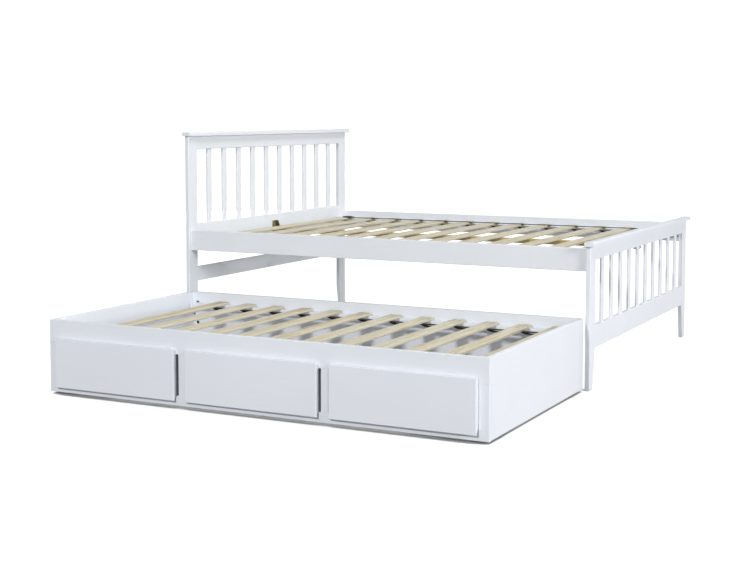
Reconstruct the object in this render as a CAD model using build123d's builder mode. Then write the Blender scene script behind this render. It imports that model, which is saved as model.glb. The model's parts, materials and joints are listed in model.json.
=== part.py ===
"""A wooden bed with a spindled head and foot board, and a low trundle bed that rolls out from under it.

X runs from the head to the foot, Y from the side that the trundle comes out of to the far side, Z up.
The origin is on the floor, at the middle of the bed with its trundle rolled out.
"""

import os

from build123d import *

os.makedirs("parts", exist_ok=True)

# Bed: sizes between and over the posts
BED_LENGTH_INSIDE = 2042
BED_WIDTH = 1634
POST_WIDTH = 75
POST_THICK = 21
LEG_TAPER_HEIGHT = 170
LEG_FOOT_WIDTH = 46
ARRIS = 2

# Head and foot boards
CAP_THICK = 18
CAP_SHOW = 18
CAP_BACK = 2
CAP_END = 20
CAP_NOSE = 5
CAP_TONGUE = 6
HEAD_CAP_UNDERSIDE = 1080
HEAD_TOP_RAIL = 66
HEAD_MID_RAIL_TOP = 644
HEAD_MID_RAIL = 130
HEAD_STRETCHER_TOP = 427
HEAD_STRETCHER = 72
FOOT_CAP_UNDERSIDE = 625
FOOT_TOP_RAIL = 64
FOOT_BOTTOM_RAIL_TOP = 277
FOOT_BOTTOM_RAIL = 100
BOARD_RAIL_THICK = 19
BOARD_RAIL_SETBACK = 1
TENON_LENGTH = 32
TENON_THICK = 10
TENON_SHOULDER = 10
SPINDLE_COUNT = 10
SPINDLE_WIDTH = 38
SPINDLE_THICK = 10
SPINDLE_HOUSING = 12
JOINT_CLEARANCE = 0.2

# Side rails and the hook plates that hang them on the posts
RAIL_TOP = 614
RAIL_HEIGHT = 100
RAIL_THICK = 22
RAIL_RECESS = 17
PLATE_WIDTH = 14
PLATE_HEIGHT = 84
PLATE_THICK = 3
HOOK_PITCH = 44
HOOK_NECK = 14
HOOK_DROP = 7
HOOK_LIP = 2.5
HOOK_THICK = 4

# Slats, the webbing that spaces them and the ledgers under their ends
SLAT_WIDTH = 62
SLAT_THICK = 12
STRAP_WIDTH = 40
STRAP_THICK = 1.5
STRAP_TAIL = 25
STRAP_INSET = 119
LEDGER_WIDTH = 40
LEDGER_HEIGHT = 25
LEDGER_END_GAP = 12
BED_SLAT_COUNT = 13
BED_SLAT_DROP = 35
BED_SLAT_HEAD_GAP = 28
BED_SLAT_FOOT_GAP = 89
BED_SLAT_END_GAP = 9

# Centre beam and its hangers
BEAM_WIDTH = 40
BEAM_HEIGHT = 22
BEAM_CLEARANCE = 0.5
HANGER_SHEET = 2.5
HANGER_DEPTH = 24
HANGER_TOP_DEPTH = 10
HANGER_RISE = 40

# Trundle box
TRUNDLE_LENGTH = 2010
TRUNDLE_DEPTH = 1060
TRUNDLE_HEIGHT = 307
TRUNDLE_FLOOR_GAP = 10
TRUNDLE_OUT_GAP = 20
TRUNDLE_FOOT_GAP = 2
FACE_THICK = 20
FACE_ARRIS = 1
FACE_TOP_RAIL = 97
FACE_BOTTOM_RAIL = 40
FACE_END_STILE = 54
FACE_MID_STILE = 30
FACE_MUNTIN = 44
STILE_TENON = 14
STILE_TENON_THICK = 8
STILE_TENON_SHOULDER = 5
PANEL_THICK = 20
PANEL_TONGUE = 6
PANEL_TONGUE_THICK = 8
FRONT_NAMES = ("left", "centre", "right")
FRONT_THICK = 20
FRONT_MARGIN = 42
FRONT_GAP = 52
FRONT_OVER_TOP_RAIL = 22
FRONT_OVER_BOTTOM_RAIL = 18
FRONT_LIP = 4
FRONT_BEVEL_HEIGHT = 28
TRUNDLE_SLAT_COUNT = 12
TRUNDLE_SLAT_DROP = 39
TRUNDLE_SLAT_HEAD_GAP = 149
TRUNDLE_SLAT_FOOT_GAP = 45
TRUNDLE_SLAT_END_GAP = 6
CAM_RADIUS = 7.5
CAM_DEPTH = 12
CAM_SETBACK = 25
CAM_LOW_LEVEL = 157
CAM_HIGH_LEVEL = 256
CAM_BOLT_RADIUS = 3.5
CAM_BOLT_BITE = 8
BORE_CLEARANCE = 0.1

# Fixed castors and the battens that carry them
BATTEN_WIDTH = 50
BATTEN_HEIGHT = 30
BATTEN_END_GAP = 2
CASTOR_FROM_END = 110
CASTOR_HEIGHT = 62
WHEEL_RADIUS = 25
WHEEL_WIDTH = 18
AXLE_RADIUS = 4
AXLE_PROUD = 2
RUNNING_CLEARANCE = 0.08
CHEEK_CLEARANCE = 1
FORK_SHEET = 2.5
FORK_EYE = 22
FORK_SHOULDER = 44
FORK_PLATE_X = 46
FORK_PLATE_Y = 66
FORK_PLATE_CORNER = 4

# Places of the bed's faces
head_x = -(BED_LENGTH_INSIDE + CAP_SHOW - CAP_BACK) / 2
foot_x = head_x + BED_LENGTH_INSIDE
near_y = (TRUNDLE_OUT_GAP + TRUNDLE_DEPTH + FRONT_THICK - BED_WIDTH - CAP_END) / 2
far_y = near_y + BED_WIDTH
mid_y = (near_y + far_y) / 2
head_posts = (head_x - POST_THICK, head_x)
foot_posts = (foot_x, foot_x + POST_THICK)
between_posts = (near_y + POST_WIDTH, far_y - POST_WIDTH)
rail_z = (RAIL_TOP - RAIL_HEIGHT, RAIL_TOP)
near_rail_y = (near_y + RAIL_RECESS, near_y + RAIL_RECESS + RAIL_THICK)
far_rail_y = (far_y - RAIL_RECESS - RAIL_THICK, far_y - RAIL_RECESS)
bed_slat_top = RAIL_TOP - BED_SLAT_DROP
bed_slat_base = bed_slat_top - SLAT_THICK
bed_ledger_z = (bed_slat_base - LEDGER_HEIGHT, bed_slat_base)

# Places of the trundle's faces
box_foot = foot_x - TRUNDLE_FOOT_GAP
box_head = box_foot - TRUNDLE_LENGTH
box_back = near_y - TRUNDLE_OUT_GAP
box_front = box_back - TRUNDLE_DEPTH
box_z = (TRUNDLE_FLOOR_GAP, TRUNDLE_FLOOR_GAP + TRUNDLE_HEIGHT)
face_y = (box_front, box_front + FACE_THICK)
back_y = (box_back - PANEL_THICK, box_back)
inside_x = (box_head + PANEL_THICK, box_foot - PANEL_THICK)
inside_y = (face_y[1], back_y[0])
stile_z = (box_z[0] + FACE_BOTTOM_RAIL, box_z[1] - FACE_TOP_RAIL)
trundle_slat_top = box_z[1] - TRUNDLE_SLAT_DROP
trundle_slat_base = trundle_slat_top - SLAT_THICK
trundle_ledger_z = (trundle_slat_base - LEDGER_HEIGHT, trundle_slat_base)


def middle(span):
    return (span[0] + span[1]) / 2


def grown(span, amount):
    """The span made longer by an amount at both ends."""
    return (span[0] - amount, span[1] + amount)


def about(centre, width):
    """The span of a given width about a centre."""
    return (centre - width / 2, centre + width / 2)


def reach(start, step):
    """The span between a start and a signed step from it."""
    return tuple(sorted((start, start + step)))


def save(piece, name):
    piece.part.label = name
    export_step(piece.part, f"parts/{name}.step")


def board(x, y, z, along, arris=ARRIS):
    """A planed board between the given limits, its long edges eased."""
    plane, u, v, run = {
        "X": (Plane.YZ, y, z, x),
        "Y": (Plane.ZX, z, x, y),
        "Z": (Plane.XY, x, y, z),
    }[along]
    with BuildPart() as blank:
        with BuildSketch(plane.offset(run[0])) as section:
            with Locations((middle(u), middle(v))):
                Rectangle(u[1] - u[0], v[1] - v[0])
            chamfer(section.vertices(), arris)
        extrude(amount=run[1] - run[0])
    return blank.part


def block(x, y, z, mode=Mode.ADD):
    """A square-edged tenon, plate or tongue, or in subtract mode a mortise, in the part that is open."""
    with Locations((middle(x), middle(y), middle(z))):
        Box(x[1] - x[0], y[1] - y[0], z[1] - z[0], mode=mode)


def pin(point, into, radius, length, mode=Mode.ADD):
    """A round bar, or in subtract mode a bore, in the part that is open."""
    with Locations(Plane(origin=point, z_dir=into)):
        Cylinder(radius, length, align=(Align.CENTER, Align.CENTER, Align.MIN), mode=mode)


# Hook plates, one at each corner: inward is the way from the post's face into the rail
corners = [
    (face, inward, rail)
    for face, inward in ((head_x, 1), (foot_x, -1))
    for rail in (near_rail_y, far_rail_y)
]
plate_z = about(middle(rail_z), PLATE_HEIGHT)
hook_necks = [about(middle(rail_z) + step * HOOK_PITCH / 2, HOOK_NECK) for step in (-1, 1)]
hook_back = PLATE_THICK + JOINT_CLEARANCE + HOOK_LIP


def cut_hook_mortises(face, inward, rail):
    """In the open post: a recess for its slotted plate and a pocket behind it for the hooks."""
    recess_y = grown(about(middle(rail), PLATE_WIDTH), JOINT_CLEARANCE)
    recess_z = grown(plate_z, JOINT_CLEARANCE)
    block(reach(face, -inward * (PLATE_THICK + JOINT_CLEARANCE)), recess_y, recess_z, Mode.SUBTRACT)
    pocket_y = grown(about(middle(rail), HOOK_THICK), JOINT_CLEARANCE)
    for low, high in hook_necks:
        pocket_z = (low - HOOK_DROP - JOINT_CLEARANCE, high + HOOK_DROP + JOINT_CLEARANCE)
        block(reach(face, -inward * (hook_back + JOINT_CLEARANCE)), pocket_y, pocket_z, Mode.SUBTRACT)


# Hangers carry the centre beam on the head and foot boards
beam_y = about(mid_y, BEAM_WIDTH)
beam_z = (bed_slat_base - BEAM_HEIGHT, bed_slat_base)
head_hanger_face = head_x - BOARD_RAIL_SETBACK
foot_hanger_face = foot_x + POST_THICK - BOARD_RAIL_SETBACK - BOARD_RAIL_THICK

# Limits of each end board's rails in Z
head_rails = {
    "headboard_top_rail": (HEAD_CAP_UNDERSIDE - HEAD_TOP_RAIL, HEAD_CAP_UNDERSIDE),
    "headboard_mid_rail": (HEAD_MID_RAIL_TOP - HEAD_MID_RAIL, HEAD_MID_RAIL_TOP),
    "headboard_stretcher": (HEAD_STRETCHER_TOP - HEAD_STRETCHER, HEAD_STRETCHER_TOP),
}
foot_rails = {
    "footboard_top_rail": (FOOT_CAP_UNDERSIDE - FOOT_TOP_RAIL, FOOT_CAP_UNDERSIDE),
    "footboard_bottom_rail": (FOOT_BOTTOM_RAIL_TOP - FOOT_BOTTOM_RAIL, FOOT_BOTTOM_RAIL_TOP),
}
spindle_gap = (between_posts[1] - between_posts[0] - SPINDLE_COUNT * SPINDLE_WIDTH) / (SPINDLE_COUNT + 1)
spindle_pitch = spindle_gap + SPINDLE_WIDTH
spindle_first = between_posts[0] + spindle_gap + SPINDLE_WIDTH / 2
spindle_ys = [spindle_first + i * spindle_pitch for i in range(SPINDLE_COUNT)]


def end_post(name, posts, outer, side, top, rails, face, inward):
    """One post: a tapered leg, mortises for the board's rails, and the side rail's hook mortises."""
    inner = outer + side * POST_WIDTH
    tenon_x = about(posts[1] - BOARD_RAIL_SETBACK - BOARD_RAIL_THICK / 2, TENON_THICK)
    with BuildPart() as post:
        with BuildSketch(Plane.YZ.offset(posts[0])):
            with BuildLine():
                Polyline(
                    (outer, 0),
                    (outer + side * LEG_FOOT_WIDTH, 0),
                    (inner, LEG_TAPER_HEIGHT),
                    (inner, top),
                    (outer, top),
                    close=True,
                )
            make_face()
        extrude(amount=POST_THICK)
        chamfer(post.faces().filter_by(Axis.X).edges().filter_by(Axis.Y, reverse=True), ARRIS)
        mortise_y = reach(inner, -side * (TENON_LENGTH + JOINT_CLEARANCE))
        for low, high in rails.values():
            mortise_z = grown((low + TENON_SHOULDER, high - TENON_SHOULDER), JOINT_CLEARANCE)
            block(grown(tenon_x, JOINT_CLEARANCE), mortise_y, mortise_z, Mode.SUBTRACT)
        cut_hook_mortises(face, inward, near_rail_y if side > 0 else far_rail_y)
    save(post, name)


def end_board(board_name, posts, cap_underside, rails, spindle_span, face, inward):
    """A whole head or foot board: two posts, rails, spindles and a cap."""
    end_post(f"{board_name}_near_post", posts, near_y, 1, cap_underside, rails, face, inward)
    end_post(f"{board_name}_far_post", posts, far_y, -1, cap_underside, rails, face, inward)

    rail_x = reach(posts[1] - BOARD_RAIL_SETBACK, -BOARD_RAIL_THICK)
    tenon_x = about(middle(rail_x), TENON_THICK)
    spindle_x = about(middle(rail_x), SPINDLE_THICK)
    tongue_z = (cap_underside, cap_underside + CAP_TONGUE)
    for rail_name, limits in rails.items():
        blank = board(rail_x, between_posts, limits, "Y")
        with BuildPart() as rail:
            add(blank)
            tenon_z = (limits[0] + TENON_SHOULDER, limits[1] - TENON_SHOULDER)
            block(tenon_x, grown(between_posts, TENON_LENGTH), tenon_z)
            if limits[1] == cap_underside:
                block(tenon_x, between_posts, tongue_z)
            if limits[1] == spindle_span[0] or limits[0] == spindle_span[1]:
                housing_z = grown(spindle_span, SPINDLE_HOUSING + JOINT_CLEARANCE)
                for y in spindle_ys:
                    housing_y = grown(about(y, SPINDLE_WIDTH), JOINT_CLEARANCE)
                    block(grown(spindle_x, JOINT_CLEARANCE), housing_y, housing_z, Mode.SUBTRACT)
        save(rail, rail_name)

    with BuildPart() as spindles:
        with BuildSketch(Plane.XY.offset(spindle_span[0] - SPINDLE_HOUSING)) as sections:
            with Locations(*[(middle(spindle_x), y) for y in spindle_ys]):
                Rectangle(SPINDLE_THICK, SPINDLE_WIDTH)
            chamfer(sections.vertices(), ARRIS)
        extrude(amount=spindle_span[1] - spindle_span[0] + 2 * SPINDLE_HOUSING)
    save(spindles, f"{board_name}_spindles")

    cap_x = (posts[0] - CAP_BACK, posts[1] + CAP_SHOW)
    cap_y = grown((near_y, far_y), CAP_END)
    with BuildPart() as cap:
        with BuildSketch(Plane.ZX.offset(cap_y[0])) as section:
            with Locations((cap_underside + CAP_THICK / 2, middle(cap_x))):
                Rectangle(CAP_THICK, cap_x[1] - cap_x[0])
            lower, upper = section.vertices().group_by(Axis.X)
            fillet(upper, CAP_NOSE)
            chamfer(lower, ARRIS)
        extrude(amount=cap_y[1] - cap_y[0])
        groove_y = grown(between_posts, JOINT_CLEARANCE)
        groove_z = (cap_underside, cap_underside + CAP_TONGUE + JOINT_CLEARANCE)
        block(grown(tenon_x, JOINT_CLEARANCE), groove_y, groove_z, Mode.SUBTRACT)
    save(cap, f"{board_name}_cap")


head_spindle_span = (head_rails["headboard_mid_rail"][1], head_rails["headboard_top_rail"][0])
foot_spindle_span = (foot_rails["footboard_bottom_rail"][1], foot_rails["footboard_top_rail"][0])
end_board("headboard", head_posts, HEAD_CAP_UNDERSIDE, head_rails, head_spindle_span, head_x, 1)
end_board("footboard", foot_posts, FOOT_CAP_UNDERSIDE, foot_rails, foot_spindle_span, foot_x, -1)

# Side rails, recessed at both ends for their hook plates
for name, rail_y in (("near_side_rail", near_rail_y), ("far_side_rail", far_rail_y)):
    rail_blank = board((head_x, foot_x), rail_y, rail_z, "X")
    with BuildPart() as side_rail:
        add(rail_blank)
        for face, inward, corner_rail in corners:
            if corner_rail == rail_y:
                recess_x = reach(face, inward * (PLATE_THICK + JOINT_CLEARANCE))
                recess_y = grown(about(middle(rail_y), PLATE_WIDTH), JOINT_CLEARANCE)
                block(recess_x, recess_y, grown(plate_z, JOINT_CLEARANCE), Mode.SUBTRACT)
    save(side_rail, name)

with BuildPart() as hook_plates:
    for face, inward, rail in corners:
        hook_y = about(middle(rail), HOOK_THICK)
        block(reach(face, inward * PLATE_THICK), about(middle(rail), PLATE_WIDTH), plate_z)
        for low, high in hook_necks:
            block(reach(face, -inward * hook_back), hook_y, (low, high))
            lip_x = reach(face - inward * hook_back, inward * HOOK_LIP)
            block(lip_x, hook_y, (low - HOOK_DROP, high))
save(hook_plates, "rail_hook_plates")

with BuildPart() as slot_plates:
    for face, inward, rail in corners:
        block(reach(face, -inward * PLATE_THICK), about(middle(rail), PLATE_WIDTH), plate_z)
    for face, inward, rail in corners:
        slot_y = grown(about(middle(rail), HOOK_THICK), JOINT_CLEARANCE)
        for low, high in hook_necks:
            slot_z = (low - JOINT_CLEARANCE, high + HOOK_DROP + JOINT_CLEARANCE)
            block(reach(face, -inward * PLATE_THICK), slot_y, slot_z, Mode.SUBTRACT)
save(slot_plates, "post_slot_plates")


def plain_board(name, x, y, z, along):
    """A board with no joints cut in it."""
    blank = board(x, y, z, along)
    with BuildPart() as piece:
        add(blank)
    save(piece, name)


# Ledgers along the rails and the box, under the slat ends
bed_ledger_x = grown((head_x, foot_x), -LEDGER_END_GAP)
trundle_ledger_x = grown(inside_x, -BATTEN_END_GAP)
near_ledger_y = reach(near_rail_y[1], LEDGER_WIDTH)
far_ledger_y = reach(far_rail_y[0], -LEDGER_WIDTH)
front_ledger_y = reach(inside_y[0], LEDGER_WIDTH)
back_ledger_y = reach(inside_y[1], -LEDGER_WIDTH)
plain_board("near_slat_ledger", bed_ledger_x, near_ledger_y, bed_ledger_z, "X")
plain_board("far_slat_ledger", bed_ledger_x, far_ledger_y, bed_ledger_z, "X")
plain_board("trundle_front_ledger", trundle_ledger_x, front_ledger_y, trundle_ledger_z, "X")
plain_board("trundle_back_ledger", trundle_ledger_x, back_ledger_y, trundle_ledger_z, "X")


# Slats, joined by webbing fixed under them
def slat_deck(name, lefts, y, base):
    """A row of pine slats across the bed, their long edges eased."""
    with BuildPart() as slats:
        with BuildSketch(Plane.ZX.offset(y[0])) as sections:
            with Locations(*[(base + SLAT_THICK / 2, left + SLAT_WIDTH / 2) for left in lefts]):
                Rectangle(SLAT_THICK, SLAT_WIDTH)
            chamfer(sections.vertices(), ARRIS)
        extrude(amount=y[1] - y[0])
    save(slats, name)


def strap(name, lefts, y_mid, base):
    """The webbing under the slats near one end, from just before the first to just past the last."""
    with BuildPart() as webbing:
        x = (lefts[0] - STRAP_TAIL, lefts[-1] + SLAT_WIDTH + STRAP_TAIL)
        block(x, about(y_mid, STRAP_WIDTH), (base - STRAP_THICK, base))
    save(webbing, name)


bed_slat_first = head_x + BED_SLAT_HEAD_GAP
bed_slat_last = foot_x - BED_SLAT_FOOT_GAP - SLAT_WIDTH
bed_slat_pitch = (bed_slat_last - bed_slat_first) / (BED_SLAT_COUNT - 1)
bed_slat_lefts = [bed_slat_first + i * bed_slat_pitch for i in range(BED_SLAT_COUNT)]
bed_slat_y = grown((near_rail_y[1], far_rail_y[0]), -BED_SLAT_END_GAP)
slat_deck("bed_slats", bed_slat_lefts, bed_slat_y, bed_slat_base)
strap("near_slat_strap", bed_slat_lefts, bed_slat_y[0] + STRAP_INSET, bed_slat_base)
strap("far_slat_strap", bed_slat_lefts, bed_slat_y[1] - STRAP_INSET, bed_slat_base)

trundle_slat_first = inside_x[0] + TRUNDLE_SLAT_HEAD_GAP
trundle_slat_last = inside_x[1] - TRUNDLE_SLAT_FOOT_GAP - SLAT_WIDTH
trundle_slat_pitch = (trundle_slat_last - trundle_slat_first) / (TRUNDLE_SLAT_COUNT - 1)
trundle_slat_lefts = [trundle_slat_first + i * trundle_slat_pitch for i in range(TRUNDLE_SLAT_COUNT)]
trundle_slat_y = grown(inside_y, -TRUNDLE_SLAT_END_GAP)
slat_deck("trundle_slats", trundle_slat_lefts, trundle_slat_y, trundle_slat_base)
strap("trundle_front_strap", trundle_slat_lefts, trundle_slat_y[0] + STRAP_INSET, trundle_slat_base)
strap("trundle_back_strap", trundle_slat_lefts, trundle_slat_y[1] - STRAP_INSET, trundle_slat_base)

# Centre beam along the middle of the bed, under the slats
beam_gap = HANGER_SHEET + BEAM_CLEARANCE
plain_board("centre_beam", (head_hanger_face + beam_gap, foot_hanger_face - beam_gap), beam_y, beam_z, "X")


def beam_hanger(name, face, inward):
    """A folded steel stirrup: a back plate, two raked cheeks and a floor that the beam sits on."""
    pocket_y = grown(beam_y, BEAM_CLEARANCE)
    outer_y = grown(pocket_y, HANGER_SHEET)
    z = (beam_z[0] - HANGER_SHEET, beam_z[1] + HANGER_RISE)
    with BuildPart() as hanger:
        with BuildSketch(Plane.XZ.offset(-outer_y[1])):
            with BuildLine():
                Polyline(
                    (face, z[0]),
                    (face + inward * HANGER_DEPTH, z[0]),
                    (face + inward * HANGER_DEPTH, beam_z[1]),
                    (face + inward * HANGER_TOP_DEPTH, z[1]),
                    (face, z[1]),
                    close=True,
                )
            make_face()
        extrude(amount=outer_y[1] - outer_y[0])
        hollow_x = reach(face + inward * HANGER_SHEET, inward * HANGER_DEPTH)
        block(hollow_x, pocket_y, (beam_z[0], z[1]), Mode.SUBTRACT)
    save(hanger, name)


beam_hanger("head_beam_hanger", head_hanger_face, 1)
beam_hanger("foot_beam_hanger", foot_hanger_face, -1)

# Trundle front: a face frame of two rails, four stiles and hidden muntins, with three fixed fronts over it
front_count = len(FRONT_NAMES)
front_width = (TRUNDLE_LENGTH - 2 * FRONT_MARGIN - (front_count - 1) * FRONT_GAP) / front_count
front_lefts = [box_head + FRONT_MARGIN + i * (front_width + FRONT_GAP) for i in range(front_count)]
front_z = (stile_z[0] - FRONT_OVER_BOTTOM_RAIL, stile_z[1] + FRONT_OVER_TOP_RAIL)
mid_stile_spans = [about(left - FRONT_GAP / 2, FACE_MID_STILE) for left in front_lefts[1:]]
stile_spans = [reach(box_head, FACE_END_STILE), *mid_stile_spans, reach(box_foot, -FACE_END_STILE)]
muntin_spans = [
    span
    for left in front_lefts[1:]
    for span in (reach(left - FRONT_GAP, -FACE_MUNTIN), reach(left, FACE_MUNTIN))
]
stile_tenon_y = about(middle(face_y), STILE_TENON_THICK)
end_panels = {"head": (box_head, inside_x[0]), "foot": (inside_x[1], box_foot)}


def cut_panel_grooves(z):
    """In the open piece of the face frame: the grooves that take the end panels' tongues."""
    groove_y = reach(face_y[1], -(PANEL_TONGUE + JOINT_CLEARANCE))
    for panel in end_panels.values():
        groove_x = grown(about(middle(panel), PANEL_TONGUE_THICK), JOINT_CLEARANCE)
        block(groove_x, groove_y, z, Mode.SUBTRACT)


def face_rail(name, z, edge, into):
    """A rail along the whole front, mortised along one edge for the stiles and muntins."""
    blank = board((box_head, box_foot), face_y, z, "X", FACE_ARRIS)
    with BuildPart() as rail:
        add(blank)
        mortise_z = reach(edge, into * (STILE_TENON + JOINT_CLEARANCE))
        for span in stile_spans + muntin_spans:
            mortise_x = grown(span, JOINT_CLEARANCE - STILE_TENON_SHOULDER)
            block(mortise_x, grown(stile_tenon_y, JOINT_CLEARANCE), mortise_z, Mode.SUBTRACT)
        cut_panel_grooves(grown(z, JOINT_CLEARANCE))
    save(rail, name)


face_rail("trundle_face_top_rail", (stile_z[1], box_z[1]), stile_z[1], 1)
face_rail("trundle_face_bottom_rail", (box_z[0], stile_z[0]), stile_z[0], -1)


def upright(span):
    """The body of a stile or muntin, with a tenon at each end."""
    blank = board(span, face_y, stile_z, "Z", FACE_ARRIS)
    with BuildPart() as piece:
        add(blank)
        block(grown(span, -STILE_TENON_SHOULDER), stile_tenon_y, grown(stile_z, STILE_TENON))
    return piece.part


for number, span in enumerate(stile_spans, start=1):
    stile_blank = upright(span)
    with BuildPart() as stile:
        add(stile_blank)
        if span not in mid_stile_spans:
            cut_panel_grooves(grown(stile_z, STILE_TENON))
    save(stile, f"trundle_face_stile_{number}")

muntin_blanks = [upright(span) for span in muntin_spans]
with BuildPart() as muntins:
    add(muntin_blanks)
save(muntins, "trundle_face_muntins")

for left, place in zip(front_lefts, FRONT_NAMES):
    with BuildPart() as front:
        with BuildSketch(Plane.YZ.offset(left)):
            with BuildLine():
                Polyline(
                    (face_y[0] - FRONT_THICK, front_z[0]),
                    (face_y[0] - FRONT_THICK, front_z[1]),
                    (face_y[0], front_z[1]),
                    (face_y[0], front_z[0] + FRONT_BEVEL_HEIGHT),
                    (face_y[0] - FRONT_THICK + FRONT_LIP, front_z[0]),
                    close=True,
                )
            make_face()
        extrude(amount=front_width)
        chamfer(front.faces().sort_by(Axis.Y)[0].edges(), ARRIS)
    save(front, f"trundle_front_{place}")

# End panels, tongued into the face frame, grooved for the back panel and bored for its cam bolts
tongue_z = grown(box_z, -ARRIS)
cam_zs = [box_z[0] + level for level in (CAM_LOW_LEVEL, CAM_HIGH_LEVEL)]
for place, panel in end_panels.items():
    inner, inward = (panel[1], 1) if place == "head" else (panel[0], -1)
    panel_blank = board(panel, (face_y[1], box_back), box_z, "Y")
    with BuildPart() as end_panel:
        add(panel_blank)
        tongue_x = about(middle(panel), PANEL_TONGUE_THICK)
        block(tongue_x, reach(face_y[1], -PANEL_TONGUE), tongue_z)
        groove_x = reach(inner, -inward * (PANEL_TONGUE + JOINT_CLEARANCE))
        groove_y = grown(about(middle(back_y), PANEL_TONGUE_THICK), JOINT_CLEARANCE)
        block(groove_x, groove_y, grown(box_z, JOINT_CLEARANCE), Mode.SUBTRACT)
        for z in cam_zs:
            start = (inner - inward * (PANEL_TONGUE + CAM_BOLT_BITE), middle(back_y), z)
            pin(start, (inward, 0, 0), CAM_BOLT_RADIUS + BORE_CLEARANCE, CAM_BOLT_BITE, Mode.SUBTRACT)
    save(end_panel, f"trundle_{place}_panel")

cams = [
    (inner + inward * CAM_SETBACK, inward, z)
    for inner, inward in ((inside_x[0], 1), (inside_x[1], -1))
    for z in cam_zs
]
cam_bolt_length = PANEL_TONGUE + CAM_SETBACK - CAM_RADIUS - BORE_CLEARANCE

back_blank = board(inside_x, back_y, box_z, "X")
with BuildPart() as back_panel:
    add(back_blank)
    block(grown(inside_x, PANEL_TONGUE), about(middle(back_y), PANEL_TONGUE_THICK), tongue_z)
    for x, inward, z in cams:
        cam_socket = CAM_DEPTH + BORE_CLEARANCE
        pin((x, back_y[0], z), (0, 1, 0), CAM_RADIUS + BORE_CLEARANCE, cam_socket, Mode.SUBTRACT)
        start = (x - inward * (CAM_SETBACK + PANEL_TONGUE), middle(back_y), z)
        bore_length = CAM_SETBACK + PANEL_TONGUE - CAM_RADIUS
        pin(start, (inward, 0, 0), CAM_BOLT_RADIUS + BORE_CLEARANCE, bore_length, Mode.SUBTRACT)
save(back_panel, "trundle_back_panel")

with BuildPart() as cam_locks:
    for x, inward, z in cams:
        pin((x, back_y[0], z), (0, 1, 0), CAM_RADIUS, CAM_DEPTH)
save(cam_locks, "trundle_cam_locks")

with BuildPart() as cam_bolts:
    for x, inward, z in cams:
        start = (x - inward * (CAM_SETBACK + PANEL_TONGUE + CAM_BOLT_BITE), middle(back_y), z)
        pin(start, (inward, 0, 0), CAM_BOLT_RADIUS, CAM_BOLT_BITE + cam_bolt_length)
save(cam_bolts, "trundle_cam_bolts")

# Battens along the end panels, with a fixed castor near each end
batten_z = (CASTOR_HEIGHT, CASTOR_HEIGHT + BATTEN_HEIGHT)
batten_spans = {"head": reach(inside_x[0], BATTEN_WIDTH), "foot": reach(inside_x[1], -BATTEN_WIDTH)}
castor_ys = {"front": inside_y[0] + CASTOR_FROM_END, "back": inside_y[1] - CASTOR_FROM_END}
for place, span in batten_spans.items():
    plain_board(f"castor_batten_{place}", span, grown(inside_y, -BATTEN_END_GAP), batten_z, "Y")

castors = [
    (f"{place}_{row}", middle(span), castor_y)
    for place, span in batten_spans.items()
    for row, castor_y in castor_ys.items()
]
fork_plate_z = (CASTOR_HEIGHT - FORK_SHEET, CASTOR_HEIGHT)
fork_gap = WHEEL_WIDTH + 2 * CHEEK_CLEARANCE
for place, x, y in castors:
    with BuildPart() as fork:
        block(about(x, FORK_PLATE_X), about(y, FORK_PLATE_Y), fork_plate_z)
        chamfer(fork.edges().filter_by(Axis.Z), FORK_PLATE_CORNER)
        for start in (x - fork_gap / 2 - FORK_SHEET, x + fork_gap / 2):
            with BuildSketch(Plane.YZ.offset(start)):
                with BuildLine():
                    Polyline(
                        (y - FORK_EYE / 2, WHEEL_RADIUS),
                        (y - FORK_SHOULDER / 2, fork_plate_z[0]),
                        (y + FORK_SHOULDER / 2, fork_plate_z[0]),
                        (y + FORK_EYE / 2, WHEEL_RADIUS),
                        (y + FORK_EYE / 4, WHEEL_RADIUS - FORK_EYE / 2),
                        (y - FORK_EYE / 4, WHEEL_RADIUS - FORK_EYE / 2),
                        close=True,
                    )
                make_face()
                with Locations((y, WHEEL_RADIUS)):
                    Circle(AXLE_RADIUS + BORE_CLEARANCE, mode=Mode.SUBTRACT)
            extrude(amount=FORK_SHEET)
    save(fork, f"castor_fork_{place}")

    with BuildPart() as wheel:
        start = (x - WHEEL_WIDTH / 2, y, WHEEL_RADIUS)
        pin(start, (1, 0, 0), WHEEL_RADIUS, WHEEL_WIDTH)
        pin(start, (1, 0, 0), AXLE_RADIUS + RUNNING_CLEARANCE, WHEEL_WIDTH, Mode.SUBTRACT)
    save(wheel, f"castor_wheel_{place}")

axle_length = fork_gap + 2 * (FORK_SHEET + AXLE_PROUD)
with BuildPart() as castor_axles:
    for place, x, y in castors:
        pin((x - axle_length / 2, y, WHEEL_RADIUS), (1, 0, 0), AXLE_RADIUS, axle_length)
save(castor_axles, "castor_axles")
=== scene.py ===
"""Finishes, fittings, floor, light and camera of the trundle bed."""

import json
import math
import random

import bmesh
import bpy
from mathutils import Matrix, Vector


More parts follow.
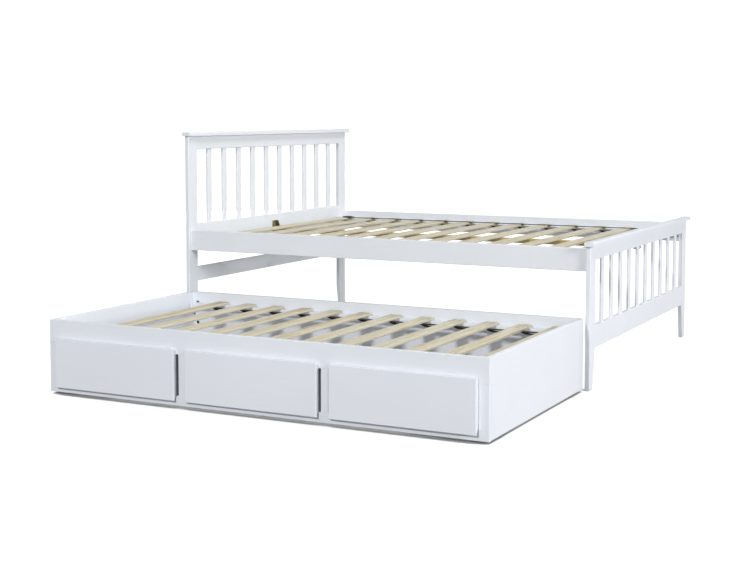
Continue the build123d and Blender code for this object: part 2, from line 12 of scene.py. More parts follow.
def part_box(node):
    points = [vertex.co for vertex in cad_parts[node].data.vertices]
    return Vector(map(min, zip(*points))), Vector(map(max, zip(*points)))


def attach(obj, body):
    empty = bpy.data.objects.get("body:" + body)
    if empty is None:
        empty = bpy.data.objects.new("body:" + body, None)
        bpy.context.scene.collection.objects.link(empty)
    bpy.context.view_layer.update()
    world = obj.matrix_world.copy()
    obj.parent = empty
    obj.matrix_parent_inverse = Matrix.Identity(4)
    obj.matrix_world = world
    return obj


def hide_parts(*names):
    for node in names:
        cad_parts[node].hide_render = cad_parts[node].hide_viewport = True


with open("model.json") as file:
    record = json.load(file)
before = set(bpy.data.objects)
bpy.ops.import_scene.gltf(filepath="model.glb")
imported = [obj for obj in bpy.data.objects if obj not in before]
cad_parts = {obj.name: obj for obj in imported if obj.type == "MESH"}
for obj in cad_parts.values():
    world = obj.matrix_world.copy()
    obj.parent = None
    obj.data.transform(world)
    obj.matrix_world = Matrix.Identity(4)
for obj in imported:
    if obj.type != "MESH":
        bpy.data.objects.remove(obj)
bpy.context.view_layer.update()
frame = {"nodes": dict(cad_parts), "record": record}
nodes = frame["nodes"]
slot_of = {row["node"]: row["material_slot"] for row in frame["record"]["subparts"]}
scene = bpy.context.scene

SEED = 20
random.seed(SEED)

AXES = "xyz"
X, Y, Z = Vector((1, 0, 0)), Vector((0, 1, 0)), Vector((0, 0, 1))


class Finish:
    """A procedural material while its nodes are being joined up."""

    def __init__(self, name, **constants):
        self.material = bpy.data.materials.new(name)
        self.material.use_nodes = True
        self.tree = self.material.node_tree
        self.shader = self.tree.nodes["Principled BSDF"]
        for socket, value in constants.items():
            self.put(value, self.shader.inputs[socket.replace("_", " ")])

    def put(self, value, target):
        """Gives a socket another node's output, or a plain value."""
        if isinstance(value, bpy.types.NodeSocket):
            self.tree.links.new(value, target)
        else:
            target.default_value = value

    def add(self, kind, settings=None, **inputs):
        """A new node with its settings, and its inputs by name."""
        made = self.tree.nodes.new("ShaderNode" + kind)
        for key, value in (settings or {}).items():
            setattr(made, key, value)
        for socket, value in inputs.items():
            self.put(value, made.inputs[socket.replace("_", " ")])
        return made

    def feed(self, socket, value):
        """Joins a node's output to one of the shader's own sockets."""
        self.tree.links.new(value, self.shader.inputs[socket])

    def point(self):
        """The point on the object in metres."""
        return self.add("TexCoord").outputs["Object"]

    def place(self, scale, shift=(0, 0, 0)):
        """The point on the object, shifted and then stretched by a scale on each axis."""
        moved = self.add("VectorMath", {"operation": "ADD"})
        self.put(self.point(), moved.inputs[0])
        self.put(shift, moved.inputs[1])
        return self.add("Mapping", Vector=moved.outputs[0], Scale=scale).outputs[0]

    def distance(self):
        """How far the point is from the middle of the object."""
        made = self.add("VectorMath", {"operation": "LENGTH"})
        self.put(self.point(), made.inputs[0])
        return made.outputs["Value"]

    def island(self):
        """A number that differs from one separate board to the next."""
        return self.add("NewGeometry").outputs["Random Per Island"]

    def scaled(self, vector, number):
        """A vector times a number."""
        made = self.add("VectorMath", {"operation": "SCALE"}, Scale=number)
        self.put(vector, made.inputs[0])
        return made.outputs[0]

    def times(self, first, second):
        """One number times another."""
        made = self.add("Math", {"operation": "MULTIPLY"})
        self.put(first, made.inputs[0])
        self.put(second, made.inputs[1])
        return made.outputs[0]

    def noise(self, point, scale, detail=2.0, roughness=0.5, distortion=0.0):
        """Soft noise between 0 and 1."""
        made = self.add("TexNoise", Vector=point, Scale=scale, Detail=detail,
                        Roughness=roughness, Distortion=distortion)
        return made.outputs[0]

    def ramp(self, value, *stops):
        """A number turned into a colour by stops of (position, colour)."""
        made = self.add("ValToRGB", Fac=value)
        band = made.color_ramp
        while len(band.elements) < len(stops):
            band.elements.new(1.0)
        for element, (position, colour) in zip(band.elements, stops):
            element.position = position
            element.color = (*colour, 1.0)
        return made.outputs[0]

    def spread(self, value, low, high, start=0.0, stop=1.0):
        """A number between start and stop carried to a range from low to high."""
        made = self.add("MapRange", Value=value, From_Min=start, From_Max=stop, To_Min=low, To_Max=high)
        return made.outputs[0]

    def mix(self, factor, first, second, blend="MIX"):
        """Two colours joined by a factor."""
        made = self.add("Mix", {"data_type": "RGBA", "blend_type": blend})
        for index, value in ((0, factor), (6, first), (7, second)):
            self.put(value, made.inputs[index])
        return made.outputs[2]

    def bump(self, height, strength, distance, normal=None):
        """A relief from a height, on top of another relief if one is given."""
        made = self.add("Bump", Height=height, Strength=strength, Distance=distance)
        if normal is not None:
            self.tree.links.new(normal, made.inputs["Normal"])
        return made.outputs[0]


def along(axis, run, across):
    """A stretch with one value along the grain and another across it."""
    return tuple(run if name == axis else across for name in AXES)


LACQUER_WHITE = ((0.3, (0.773, 0.802, 0.853)), (0.7, (0.803, 0.831, 0.878)))
LACQUER_GRAIN = ((0.25, (0.975, 0.977, 0.982)), (0.75, (1.0, 1.0, 1.0)))
# Painted shade: the dark colour given to the muntin edges that face into the slots beside the false fronts
PAINTED_SLOT_SHADE = ((0.3, (0.10, 0.105, 0.115)), (0.7, (0.15, 0.155, 0.165)))


def lacquer(axis):
    """Sprayed satin white lacquer on timber whose grain runs along one axis."""
    finish = Finish(f"white_lacquer_{axis}", IOR=1.5)
    point = finish.point()
    cloud = finish.noise(point, scale=2.4, detail=3.0)
    drawn_out = finish.place(along(axis, 0.04, 1.0))
    grain = finish.noise(drawn_out, scale=160, detail=4.0, roughness=0.6, distortion=0.3)
    white = finish.ramp(cloud, *LACQUER_WHITE)
    shade = finish.ramp(grain, *LACQUER_GRAIN)
    finish.feed("Base Color", finish.mix(1.0, white, shade, "MULTIPLY"))
    spray = finish.noise(point, scale=620)
    finish.feed("Roughness", finish.spread(spray, low=0.36, high=0.46))
    relief = finish.bump(grain, strength=0.10, distance=0.0004)
    finish.feed("Normal", finish.bump(spray, strength=0.05, distance=0.0003, normal=relief))
    return finish.material


def lacquer_with_painted_slot_shade():
    """White lacquer with painted shade on the edges that face along X, standing in for the shade inside the
    slots beside them.
    """
    finish = Finish("lacquer_with_painted_slot_shade", IOR=1.5)
    facing = finish.add("SeparateXYZ", Vector=finish.add("NewGeometry").outputs["True Normal"])
    edge = finish.add("Math", {"operation": "ABSOLUTE"})
    finish.put(facing.outputs["X"], edge.inputs[0])
    # Painted shade: edges that face along X take the dark colour that the shade inside the slots would show
    painted_shade_mask = finish.spread(edge.outputs[0], low=0.0, high=1.0, start=0.6, stop=0.8)
    cloud = finish.noise(finish.point(), scale=40, detail=3.0)
    white = finish.ramp(cloud, *LACQUER_WHITE)
    painted_shade = finish.ramp(cloud, *PAINTED_SLOT_SHADE)
    finish.feed("Base Color", finish.mix(painted_shade_mask, white, painted_shade))
    finish.feed("Roughness", finish.spread(cloud, low=0.4, high=0.6))
    finish.feed("Normal", finish.bump(cloud, strength=0.05, distance=0.0003))
    return finish.material


PINE_RINGS = (
    (0.34, (0.52, 0.46, 0.32)), (0.46, (0.64, 0.61, 0.49)),
    (0.57, (0.67, 0.65, 0.55)), (0.68, (0.50, 0.43, 0.29)),
)
PINE_PORES = ((0.3, (0.93, 0.91, 0.88)), (0.6, (1.0, 1.0, 1.0)))
KNOT_FADE = ((0.03, (1.0, 1.0, 1.0)), (0.06, (0.35, 0.35, 0.35)), (0.11, (0.0, 0.0, 0.0)))
KNOT_COLOUR = (0.34, 0.20, 0.10, 1.0)
BOARD_SHIFT = (13.7, 7.9, 5.3)
SLAT_TONES = (
    (0.0, (0.93, 0.86, 0.76)), (0.35, (1.0, 0.98, 0.94)),
    (0.7, (1.0, 1.0, 1.0)), (1.0, (0.96, 0.92, 0.84)),
)
BEAM_TONES = ((0.0, (0.66, 0.53, 0.25)), (1.0, (0.70, 0.57, 0.28)))


def pine(name, axis, tones):
    """Planed bare pine: growth rings drawn out along the grain, fine pores and a few knots."""
    finish = Finish(name, IOR=1.48)
    island = finish.island()
    shift = finish.scaled(BOARD_SHIFT, island)
    drawn_out = finish.place(along(axis, 0.05, 1.0), shift)
    rings = finish.noise(drawn_out, scale=62, detail=3.0, roughness=0.55, distortion=0.7)
    pores = finish.noise(finish.place(along(axis, 0.02, 1.0), shift), scale=520, detail=3.0, roughness=0.6)
    wood = finish.mix(1.0, finish.ramp(rings, *PINE_RINGS), finish.ramp(pores, *PINE_PORES), "MULTIPLY")
    wood = finish.mix(1.0, wood, finish.ramp(island, *tones), "MULTIPLY")
    cells = finish.add("TexVoronoi", Vector=finish.place(along(axis, 1.7, 8.0), shift), Scale=1.0)
    knot = finish.ramp(cells.outputs["Distance"], *KNOT_FADE)
    finish.feed("Base Color", finish.mix(knot, wood, KNOT_COLOUR))
    finish.feed("Roughness", finish.spread(pores, low=0.55, high=0.72))
    relief = finish.bump(rings, strength=0.12, distance=0.0005)
    finish.feed("Normal", finish.bump(pores, strength=0.18, distance=0.0004, normal=relief))
    return finish.material


WEAVE = ((0.0, (0.004, 0.004, 0.005)), (1.0, (0.026, 0.026, 0.028)))


def webbing_cloth():
    """Black polypropylene webbing with a plain weave."""
    gloss = {"IOR": 1.45, "Specular_IOR_Level": 0.2, "Sheen_Weight": 0.04, "Sheen_Roughness": 0.5}
    finish = Finish("woven_webbing", **gloss)
    point = finish.point()
    warp = finish.add("TexWave", {"bands_direction": "Y"}, Vector=point, Scale=420.0, Distortion=0.6)
    weft = finish.add("TexWave", {"bands_direction": "X"}, Vector=point, Scale=330.0, Distortion=0.6)
    weave = finish.mix(1.0, warp.outputs[0], weft.outputs[0], "MULTIPLY")
    finish.feed("Base Color", finish.ramp(weave, *WEAVE))
    finish.feed("Roughness", finish.spread(finish.noise(point, scale=180), low=0.6, high=0.8))
    finish.feed("Normal", finish.bump(weave, strength=0.6, distance=0.0004))
    return finish.material


def metal(name, low, high, rough):
    """Plated steel: a patchy plating colour and a faint rolled surface."""
    finish = Finish(name, Metallic=1.0)
    point = finish.point()
    patch = finish.noise(point, scale=90, detail=4.0, roughness=0.6)
    finish.feed("Base Color", finish.ramp(patch, (0.3, low), (0.7, high)))
    finish.feed("Roughness", finish.spread(patch, *rough))
    rolled = finish.noise(point, scale=1400)
    finish.feed("Normal", finish.bump(rolled, strength=0.08, distance=0.0002))
    return finish.material


def moulded(name, low, high):
    """Moulded nylon with a faint spark-eroded texture."""
    finish = Finish(name, IOR=1.5)
    point = finish.point()
    cloud = finish.noise(point, scale=60, detail=3.0)
    finish.feed("Base Color", finish.ramp(cloud, (0.3, low), (0.7, high)))
    finish.feed("Roughness", finish.spread(cloud, low=0.42, high=0.6))
    eroded = finish.noise(point, scale=2200)
    finish.feed("Normal", finish.bump(eroded, strength=0.15, distance=0.0002))
    return finish.material


lacquers = {axis: lacquer(axis) for axis in AXES}
cloth = webbing_cloth()
yellow_zinc = metal("yellow_zinc", (0.16, 0.145, 0.055), (0.27, 0.24, 0.10), rough=(0.38, 0.52))
bright_zinc = metal("bright_zinc", (0.56, 0.57, 0.58), (0.68, 0.68, 0.67), rough=(0.24, 0.38))
dark_zinc = metal("dark_zinc", (0.045, 0.045, 0.05), (0.09, 0.09, 0.095), rough=(0.35, 0.5))
nylon = moulded("black_nylon", (0.012, 0.012, 0.013), (0.028, 0.028, 0.03))

GRAIN_OF_GROUP = {"headboard_spindles": "z", "footboard_spindles": "z"}
OWN_FINISH = {
    # The muntins' edges carry painted slot shade
    "trundle_face_muntins": lacquer_with_painted_slot_shade(),
    "centre_beam": pine("amber_pine", "x", BEAM_TONES),
}
PLAIN_FINISH = {
    "pine": pine("pine_y", "y", SLAT_TONES), "webbing": cloth, "zinc_steel": yellow_zinc,
    "castor_steel": bright_zinc, "castor_plastic": nylon, "fastener_steel": bright_zinc,
}
SOFT_EDGE = {"white_paint": 0.0012, "pine": 0.0008, "castor_steel": 0.0005, "zinc_steel": 0.0005}
EDGE_ANGLE = math.radians(25)
EDGE_SEGMENTS = 2
WELD_DISTANCE = 0.00002


def grain_axis(name):
    """The way a board's grain runs: along its longest side, or along each board of a group."""
    low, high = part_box(name)
    size = high - low
    return GRAIN_OF_GROUP.get(name) or AXES[max(range(3), key=lambda i: size[i])]


for name, piece in nodes.items():
    slot = slot_of[name]
    if name in OWN_FINISH:
        finish = OWN_FINISH[name]
    elif slot == "white_paint":
        finish = lacquers[grain_axis(name)]
    else:
        finish = PLAIN_FINISH[slot]
    piece.data.materials.clear()
    piece.data.materials.append(finish)
    if slot in SOFT_EDGE:
        weld = piece.modifiers.new("join_faces", "WELD")
        weld.merge_threshold = WELD_DISTANCE
        soften = piece.modifiers.new("soft_edges", "BEVEL")
        soften.width = SOFT_EDGE[slot]
        soften.segments = EDGE_SEGMENTS
        soften.limit_method = "ANGLE"
        soften.angle_limit = EDGE_ANGLE

SMOOTH_ANGLE = math.radians(35)


def piece_from(bm, name, body, finish):
    """A new piece of the object from a finished mesh."""
    bmesh.ops.recalc_face_normals(bm, faces=bm.faces)
    mesh = bpy.data.meshes.new(name)
    bm.to_mesh(mesh)
    bm.free()
    mesh.shade_smooth()
    mesh.set_sharp_from_angle(angle=SMOOTH_ANGLE)
    mesh.materials.append(finish)
    piece = bpy.data.objects.new(name, mesh)
    scene.collection.objects.link(piece)
    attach(piece, body)
    return piece


def towards(point, normal):
    """A placing that carries a fitting's own +Z onto a face's normal at a point."""
    return Matrix.Translation(point) @ normal.to_track_quat("Z", "Y").to_matrix().to_4x4()


def skin(bm, loops, closed):
    """Faces between each loop of points and the next, and from the last back to the first if closed."""
    count = len(loops[0])
    for first, second in zip(loops, loops[1:] + loops[:1] if closed else loops[1:]):
        for i in range(count):
            j = (i + 1) % count
            bm.faces.new((first[i], first[j], second[j], second[i]))


def lathe(bm, profile, place, steps):
    """A closed ring of the profile, given as (radius, height), turned about the placing's Z."""
    loops = []
    for step in range(steps):
        turn = place @ Matrix.Rotation(2 * math.pi * step / steps, 4, "Z")
        loops.append([bm.verts.new(turn @ Vector((radius, 0, height))) for radius, height in profile])
    skin(bm, loops, True)


# A fastener's head: its rim in shares of radius and height, its cross in shares of the radius
HEAD_RIM = ((1.0, 0.35), (0.93, 0.75), (0.8, 1.0))
CROSS_ARM = 0.58
CROSS_HALF_WIDTH = 0.13
CROSS_DEPTH = 0.55
CROSS_TAPER = 0.8


def head_with_cross(bm, place, radius, height, depth, steps):
    """A fastener's head with a cross recess: a low rounded rim, and a cross sunk into the middle."""
    rim = [(radius, -depth)] + [(share * radius, rise * height) for share, rise in HEAD_RIM]
    angles = [2 * math.pi * step / steps for step in range(steps)]
    rings = [
        [bm.verts.new(place @ Vector((r * math.cos(angle), r * math.sin(angle), z))) for angle in angles]
        for r, z in rim
    ]
    skin(bm, rings, False)
    bm.faces.new(reversed(rings[0]))
    arm, half = CROSS_ARM * radius, CROSS_HALF_WIDTH * radius
    outline = []
    for quarter in range(4):
        turn = Matrix.Rotation(quarter * math.pi / 2, 4, "Z")
        outline += [turn @ Vector(corner) for corner in ((arm, -half, 0), (arm, half, 0), (half, half, 0))]
    base = height - CROSS_DEPTH * radius
    top = [bm.verts.new(place @ (corner + height * Z)) for corner in outline]
    sunk = [bm.verts.new(place @ (CROSS_TAPER * corner + base * Z)) for corner in outline]
    skin(bm, [top, sunk], False)
    bm.faces.new(sunk)
    edges = []
    for loop in (rings[-1], top):
        for i, vertex in enumerate(loop):
            pair = (loop[i - 1], vertex)
            edges.append(bm.edges.get(pair) or bm.edges.new(pair))
    bmesh.ops.bridge_loops(bm, edges=edges)


def spread_points(start, end, count):
    """Evenly spaced points with half a step left at both ends."""
    step = (end - start) / count
    return [start + (i + 0.5) * step for i in range(count)]


def islands(node, gap):
    """The spans along X of a group's boards; gap is between a board's width and the space to the next."""
    values = sorted(vertex.co.x for vertex in nodes[node].data.vertices)
    spans = [[values[0], values[0]]]
    for value in values[1:]:
        if value - spans[-1][1] > gap:
            spans.append([value, value])
        spans[-1][1] = value
    return spans


# Screws
SCREW_RADIUS = 0.004
SCREW_RISE = 0.0006
SCREW_SUNK = 0.0002
SCREW_STEPS = 24
LEDGER_SCREWS = 7
HANGER_SCREWS = 2
HANGER_SCREW_DROP = 0.012
HANGER_SHEET = 0.0025
BATTEN_SCREWS = 4
MUNTIN_SCREWS = 2
MUNTIN_MERGE = 0.05
FORK_SHEET = 0.0025
FORK_SCREW_SHARES_X = (0.14, 0.86)
FORK_SCREW_SHARES_Y = (0.1, 0.9)
CORNER_SCREW_RADIUS = 0.0055
CORNER_SCREW_HEIGHT = 0.208
CORNER_SCREW_INSET = 0.0065


def screws(name, body, places, finish, radius=SCREW_RADIUS):
    """A group of wood-screw heads on one body."""
    bm = bmesh.new()
    for point, normal in places:
        twist = Matrix.Rotation(random.uniform(0, math.pi / 2), 4, "Z")
        head_with_cross(bm, towards(point, normal) @ twist, radius, SCREW_RISE, SCREW_SUNK, SCREW_STEPS)
    piece_from(bm, name, body, finish)


def ledger_screws(node, normal):
    """Screws through a ledger, on the face that looks into the bed."""
    low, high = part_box(node)
    y = high.y if normal.y > 0 else low.y
    z = (low.z + high.z) / 2
    return [(Vector((x, y, z)), normal) for x in spread_points(low.x, high.x, LEDGER_SCREWS)]


bed_places = ledger_screws("near_slat_ledger", Y) + ledger_screws("far_slat_ledger", -Y)
for node, normal in (("head_beam_hanger", X), ("foot_beam_hanger", -X)):
    low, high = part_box(node)
    x = low.x + HANGER_SHEET if normal.x > 0 else high.x - HANGER_SHEET
    for y in spread_points(low.y, high.y, HANGER_SCREWS):
        bed_places.append((Vector((x, y, high.z - HANGER_SCREW_DROP)), normal))
screws("bed_screw_heads", "bed_frame", bed_places, bright_zinc)

trundle_places = ledger_screws("trundle_front_ledger", Y) + ledger_screws("trundle_back_ledger", -Y)
for end, normal in (("head", X), ("foot", -X)):
    low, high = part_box(f"castor_batten_{end}")
    x = high.x if normal.x > 0 else low.x
    z = (low.z + high.z) / 2
    trundle_places += [(Vector((x, y, z)), normal) for y in spread_points(low.y, high.y, BATTEN_SCREWS)]
    for row in ("front", "back"):
        low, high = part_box(f"castor_fork_{end}_{row}")
        for share_x in FORK_SCREW_SHARES_X:
            for share_y in FORK_SCREW_SHARES_Y:
                x = low.x + share_x * (high.x - low.x)
                y = low.y + share_y * (high.y - low.y)
                trundle_places.append((Vector((x, y, high.z - FORK_SHEET)), -Z))
low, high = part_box("trundle_face_muntins")
for left, right in islands("trundle_face_muntins", MUNTIN_MERGE):
    for z in spread_points(low.z, high.z, MUNTIN_SCREWS):
        trundle_places.append((Vector(((left + right) / 2, high.y, z)), Y))
screws("trundle_screw_heads", "trundle", trundle_places, bright_zinc)

back_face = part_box("trundle_back_ledger")[1].y
corner_xs = (
    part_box("trundle_head_panel")[1].x + CORNER_SCREW_INSET,
    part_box("trundle_foot_panel")[0].x - CORNER_SCREW_INSET,
)
corner_places = [(Vector((x, back_face, CORNER_SCREW_HEIGHT)), -Y) for x in corner_xs]
screws("trundle_corner_screws", "trundle", corner_places, dark_zinc, CORNER_SCREW_RADIUS)

# Cam locks of the back corners, set flush in the back panel
CAM_RADIUS = 0.0075
CAM_STEPS = 32
low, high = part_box("trundle_cam_locks")
bm = bmesh.new()
for x in (low.x + CAM_RADIUS, high.x - CAM_RADIUS):
    for z in (low.z + CAM_RADIUS, high.z - CAM_RADIUS):
        place = towards(Vector((x, low.y, z)), -Y)
        head_with_cross(bm, place, CAM_RADIUS, 0.0, high.y - low.y, CAM_STEPS)
cams = piece_from(bm, "cam_lock_faces", "trundle", dark_zinc)
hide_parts("trundle_cam_locks")

# Castors: turned wheels with a dished side, and riveted axles
AXLE_RADIUS = 0.004
AXLE_PLAY = 0.00008
CHEEK_PLAY = 0.001
RIVET_RADIUS = 0.0065
RIVET_PROUD = 0.002
RIVET_DOME = ((0.0, 1.0), (0.45, 0.95), (0.85, 0.6), (1.0, 0.0))
RIVET_STEPS = 32
RIVET_MERGE = 0.000001
WHEEL_SIDE = (
    (0.30, 1.0), (0.34, 0.86), (0.36, 0.55), (0.70, 0.55), (0.74, 0.86),
    (0.80, 1.0), (0.90, 0.97), (0.97, 0.80), (1.0, 0.52),
)
WHEEL_STEPS = 72


def there_and_back(side):
    """A profile and its mirror image along the axle."""
    return side + [(radius, -height) for radius, height in reversed(side)]


def wheel_profile(radius, half, bore):
    """Hub, dish, shoulder and tread, as (radius, distance along the axle)."""
    side = [(share * radius, reach * half) for share, reach in WHEEL_SIDE]
    return there_and_back([(bore, half)] + side)


def rivet_profile(cheek):
    """A plain axle with a domed head against the outside of each cheek."""
    dome = [(share * RIVET_RADIUS, cheek + rise * RIVET_PROUD) for share, rise in RIVET_DOME]
    return there_and_back(dome + [(AXLE_RADIUS, cheek)])


rivets = bmesh.new()
for end in ("head", "foot"):
    for row in ("front", "back"):
        node = f"castor_wheel_{end}_{row}"
        low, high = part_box(node)
        radius, half = (high.z - low.z) / 2, (high.x - low.x) / 2
        axle = towards((low + high) / 2, X)
        bm = bmesh.new()
        lathe(bm, wheel_profile(radius, half, AXLE_RADIUS + AXLE_PLAY), axle, WHEEL_STEPS)
        wheel = piece_from(bm, f"{node}_moulding", node, nylon)
        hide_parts(node)
        lathe(rivets, rivet_profile(half + CHEEK_PLAY + FORK_SHEET), axle, RIVET_STEPS)
bmesh.ops.remove_doubles(rivets, verts=rivets.verts, dist=RIVET_MERGE)
axles = piece_from(rivets, "castor_axle_rivets", "trundle", bright_zinc)
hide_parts("castor_axles")

# Webbing: a band doubled back on itself and stapled under each slat, slack between the slats
WEB_THICK = 0.0007
WEB_FOLD = 0.0004
WEB_FOLD_ANGLES = (60, 0, -60)
WEB_EDGE = 0.0006
WEB_FLAT_SHARE = 0.97
WEB_STEP = 0.006
UPPER_SAG = (0.0003, 0.001)
LOWER_SAG = (0.0075, 0.0095)
BOW_POWER = 4
SLAT_MERGE = 0.078
STAPLE_CROWN = 0.011
STAPLE_LEG = 0.0022
STAPLE_WIRE = 0.0006
STAPLE_SIDES = 8


def gaps_between(slats):
    """The open spans between one slat and the next."""
    return [(before[1], after[0]) for before, after in zip(slats, slats[1:])]


def steps_between(start, end):
    """Places along a strap, a short step apart."""
    count = round((end - start) / WEB_STEP)
    return [start + (end - start) * i / count for i in range(count + 1)]


def layer(xs, gaps, level, sags):
    """Points along one layer: flat at the slats, and hanging in a shallow bow in each gap."""
    points = []
    for x in xs:
        z = level
        for (start, end), sag in zip(gaps, sags):
            if start < x < end:
                across = 2 * (x - start) / (end - start) - 1
                z -= sag * (1 - across ** BOW_POWER)
        points.append(Vector((x, 0, z)))
    return points


def fold_round(x, z, radius, degrees):
    """Points round a fold about a centre."""
    angles = [math.radians(turn) for turn in degrees]
    return [Vector((x + radius * math.cos(angle), 0, z + radius * math.sin(angle))) for angle in angles]


def band(half, thick):
    """A strap's cross-section, thin at both edges."""
    flat, rise = WEB_FLAT_SHARE * half, thick / 2
    return [(-half, 0.0), (-flat, rise), (flat, rise), (half, 0.0), (flat, -rise), (-flat, -rise)]


def sweep(bm, path, side, section):
    """A section, given as (distance along side, distance along the path's normal), carried along a path."""
    loops = []
    for i, point in enumerate(path):
        run = (path[min(i + 1, len(path) - 1)] - path[max(i - 1, 0)]).normalized()
        normal = run.cross(side)
        loops.append([bm.verts.new(point + u * side + t * normal) for u, t in section])
    skin(bm, loops, False)
    bm.faces.new(loops[0])
    bm.faces.new(reversed(loops[-1]))


def webbing(strap_node, slat_node, body):
    """One doubled strap under a deck of slats; gives the staple places under it."""
    low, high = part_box(strap_node)
    slats = islands(slat_node, SLAT_MERGE)
    gaps = gaps_between(slats)
    half = (high.y - low.y) / 2 - WEB_EDGE
    upper = high.z - WEB_THICK / 2
    lower = upper - 2 * WEB_FOLD
    fold = high.x - WEB_FOLD - WEB_THICK / 2
    xs = steps_between(low.x, fold)
    upper_sags = [random.uniform(*UPPER_SAG) for gap in gaps]
    lower_sags = [random.uniform(*LOWER_SAG) for gap in gaps]
    path = layer(xs, gaps, upper, upper_sags)
    path += fold_round(fold, upper - WEB_FOLD, WEB_FOLD, WEB_FOLD_ANGLES)
    path += reversed(layer(xs, gaps, lower, lower_sags))
    bm = bmesh.new()
    middle = (low.y + high.y) / 2 * Y
    sweep(bm, [point + middle for point in path], Y, band(half, WEB_THICK))
    strap = piece_from(bm, f"{strap_node}_webbing", body, cloth)
    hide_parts(strap_node)
    underside = lower - WEB_THICK / 2 - STAPLE_WIRE
    return [Vector(((left + right) / 2, 0, underside)) + middle for left, right in slats]


def staples(name, body, places, drive):
    """Wire staples driven one way into the slats to hold the webbing, as one group."""
    ring = [math.radians(360 / STAPLE_SIDES * i) for i in range(STAPLE_SIDES)]
    section = [(STAPLE_WIRE * math.cos(angle), STAPLE_WIRE * math.sin(angle)) for angle in ring]
    corner, inset = STAPLE_CROWN / 2 * Y, STAPLE_WIRE * Y
    bend, leg = STAPLE_WIRE * drive, STAPLE_LEG * drive
    path = [leg - corner, bend - corner, inset - corner, corner - inset, corner + bend, corner + leg]
    bm = bmesh.new()
    for place in places:
        sweep(bm, [place + point for point in path], X, section)
    piece_from(bm, name, body, bright_zinc)


near_staples = webbing("near_slat_strap", "bed_slats", "bed_frame")
far_staples = webbing("far_slat_strap", "bed_slats", "bed_frame")
staples("bed_strap_staples", "bed_frame", near_staples + far_staples, Z)
front_staples = webbing("trundle_front_strap", "trundle_slats", "trundle")
back_staples = webbing("trundle_back_strap", "trundle_slats", "trundle")
staples("trundle_strap_staples", "trundle", front_staples + back_staples, Z)

# Tape: a band laid along the tops of the bed's slats near both ends, with a loose hem at the head
TAPE_WIDTH = 0.045
TAPE_THICK = 0.0012
TAPE_INSET = 0.066
TAPE_MARGIN = 0.03
TAPE_HEM = 0.055
TAPE_LOOP = 0.0025
TAPE_LOOP_ANGLES = (120, 180, 240)
TAPE_REST = 0.0001
TAPE_SAG = (0.0006, 0.0014)


def deck_tape(name, y):
    """One tape across all the slats; gives the staple places on every slat but the one under the hem."""
    slats = islands("bed_slats", SLAT_MERGE)
    gaps = gaps_between(slats)
    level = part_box("bed_slats")[1].z + TAPE_REST + TAPE_THICK / 2
    start, end = slats[0][0] + TAPE_MARGIN, slats[-1][1] - TAPE_MARGIN
    sags = [random.uniform(*TAPE_SAG) for gap in gaps]
    hem = steps_between(start, start + TAPE_HEM)
    path = [Vector((x, 0, level + 2 * TAPE_LOOP)) for x in reversed(hem)]
    path += fold_round(start, level + TAPE_LOOP, TAPE_LOOP, TAPE_LOOP_ANGLES)
    path += layer(steps_between(start, end), gaps, level, sags)
    bm = bmesh.new()
    sweep(bm, [point + y * Y for point in path], Y, band(TAPE_WIDTH / 2, TAPE_THICK))
    tape = piece_from(bm, name, "bed_frame", cloth)
    top = level + TAPE_THICK / 2 + STAPLE_WIRE
    return [Vector(((left + right) / 2, y, top)) for left, right in slats[1:]]


low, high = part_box("bed_slats")
tape_staples = deck_tape("near_deck_tape", low.y + TAPE_INSET)
tape_staples += deck_tape("far_deck_tape", high.y - TAPE_INSET)
staples("bed_tape_staples", "bed_frame", tape_staples, -Z)

# Floor: a white sweep that glows, more so farther off, with the glow cut close under and beside the bed and
# trundle as painted contact shade
PURE_WHITE = (1.0, 1.0, 1.0, 1.0)
FLOOR_REACH = 60.0
FLOOR_GREY = ((0.3, (0.37, 0.37, 0.372)), (0.7, (0.39, 0.39, 0.392)))
SHADE_REACH = 0.36
SHADE_SAMPLES = 48
floor_mesh = bpy.data.meshes.new("floor")
corners = [(i * FLOOR_REACH, j * FLOOR_REACH, 0) for i, j in ((-1, -1), (1, -1), (1, 1), (-1, 1))]
floor_mesh.from_pydata(corners, [], [(0, 1, 2, 3)])
floor = bpy.data.objects.new("floor", floor_mesh)
scene.collection.objects.link(floor)
floor_finish = Finish("pale_floor", Roughness=0.8, Emission_Color=PURE_WHITE)
floor_cloud = floor_finish.noise(floor_finish.point(), scale=0.6)
floor_finish.feed("Base Color", floor_finish.ramp(floor_cloud, *FLOOR_GREY))
# Painted contact shade: where the bed or trundle stands close, the glow is cut, so the dark lines under
# them are partly this painted shade and partly the lamps' real shadow on the floor's grey
shade = floor_finish.add("AmbientOcclusion", {"samples": SHADE_SAMPLES}, Distance=SHADE_REACH)
unshaded_by_painted_contact_shade = floor_finish.spread(shade.outputs["AO"], low=0.0, high=1.0, start=0.34, stop=0.56)
glow = floor_finish.spread(floor_finish.distance(), low=0.76, high=0.97, start=1.5, stop=4.5)
floor_finish.feed("Emission Strength", floor_finish.times(unshaded_by_painted_contact_shade, glow))
floor_mesh.materials.append(floor_finish.material)
floor.visible_diffuse = False
floor.visible_shadow = False

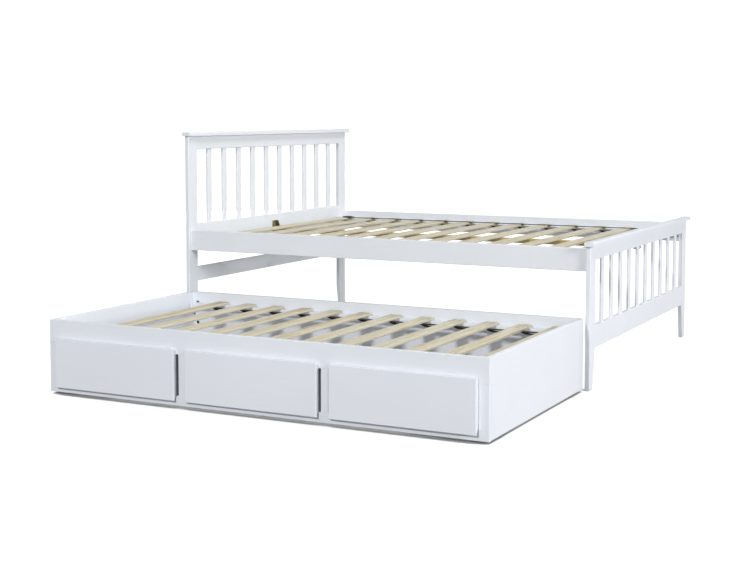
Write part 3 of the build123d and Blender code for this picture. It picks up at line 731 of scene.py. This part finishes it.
# Light: a white room, and softboxes in front, overhead, on the right, far off to the right and behind
BACKDROP_STRENGTH = 1.05
FILL_COLOUR = (0.96, 0.98, 1.0, 1.0)
FILL_STRENGTH = 0.25
scene.view_settings.view_transform = "Standard"
world = bpy.data.worlds.new("white_room")
scene.world = world
world.use_nodes = True
room = world.node_tree
backdrop = room.nodes["Background"]
backdrop.inputs["Color"].default_value = PURE_WHITE
backdrop.inputs["Strength"].default_value = BACKDROP_STRENGTH
fill = room.nodes.new("ShaderNodeBackground")
fill.inputs["Color"].default_value = FILL_COLOUR
fill.inputs["Strength"].default_value = FILL_STRENGTH
rays = room.nodes.new("ShaderNodeLightPath")
choose = room.nodes.new("ShaderNodeMixShader")
room.links.new(rays.outputs["Is Camera Ray"], choose.inputs[0])
room.links.new(fill.outputs[0], choose.inputs[1])
room.links.new(backdrop.outputs[0], choose.inputs[2])
room.links.new(choose.outputs[0], room.nodes["World Output"].inputs["Surface"])


def softbox(name, place, aim, size, power, mirrored=True):
    """A square area light turned towards a point, seen in the lacquer or not."""
    lamp = bpy.data.lights.new(name, "AREA")
    lamp.energy = power
    lamp.size = size
    light = bpy.data.objects.new(name, lamp)
    light.location = place
    light.rotation_euler = (Vector(aim) - Vector(place)).to_track_quat("-Z", "Y").to_euler()
    light.visible_glossy = mirrored
    scene.collection.objects.link(light)


softbox("front_softbox", (0.0, -8.2, 4.0), (0.0, -0.4, 0.3), size=0.9, power=360)
softbox("top_softbox", (2.2, 2.2, 7.0), (0.0, -0.2, 0.4), size=2.5, power=245)
softbox("right_softbox", (7.0, -2.6, 2.9), (0.5, -0.4, 0.3), size=1.6, power=272)
softbox("far_right_softbox", (20.0, 0.3, 2.6), (0.0, 0.0, 0.4), size=4.0, power=700)
softbox("back_softbox", (-6.5, 8.0, 1.8), (0.0, 0.0, 0.5), size=2.5, power=650, mirrored=False)

# Camera at the photograph's place, in degrees below the level and round from the long side
PHOTO_WIDTH = 744
FRAME_SHIFT = -67
FOCAL_LENGTH = 65.591
SENSOR_WIDTH = 36.0
VIEW_REACH = 200.0
CAMERA_PLACE = (2.8187, -5.8207, 1.1851)
CAMERA_DOWN = 4.233
CAMERA_ROUND = 27.056
camera_data = bpy.data.cameras.new("camera")
camera_data.sensor_fit = "HORIZONTAL"
camera_data.sensor_width = SENSOR_WIDTH
camera_data.lens = FOCAL_LENGTH
camera_data.shift_y = FRAME_SHIFT / PHOTO_WIDTH
camera_data.clip_end = VIEW_REACH
camera = bpy.data.objects.new("camera", camera_data)
camera.location = CAMERA_PLACE
camera.rotation_euler = (math.radians(90 - CAMERA_DOWN), 0.0, math.radians(CAMERA_ROUND))
scene.collection.objects.link(camera)
scene.camera = camera
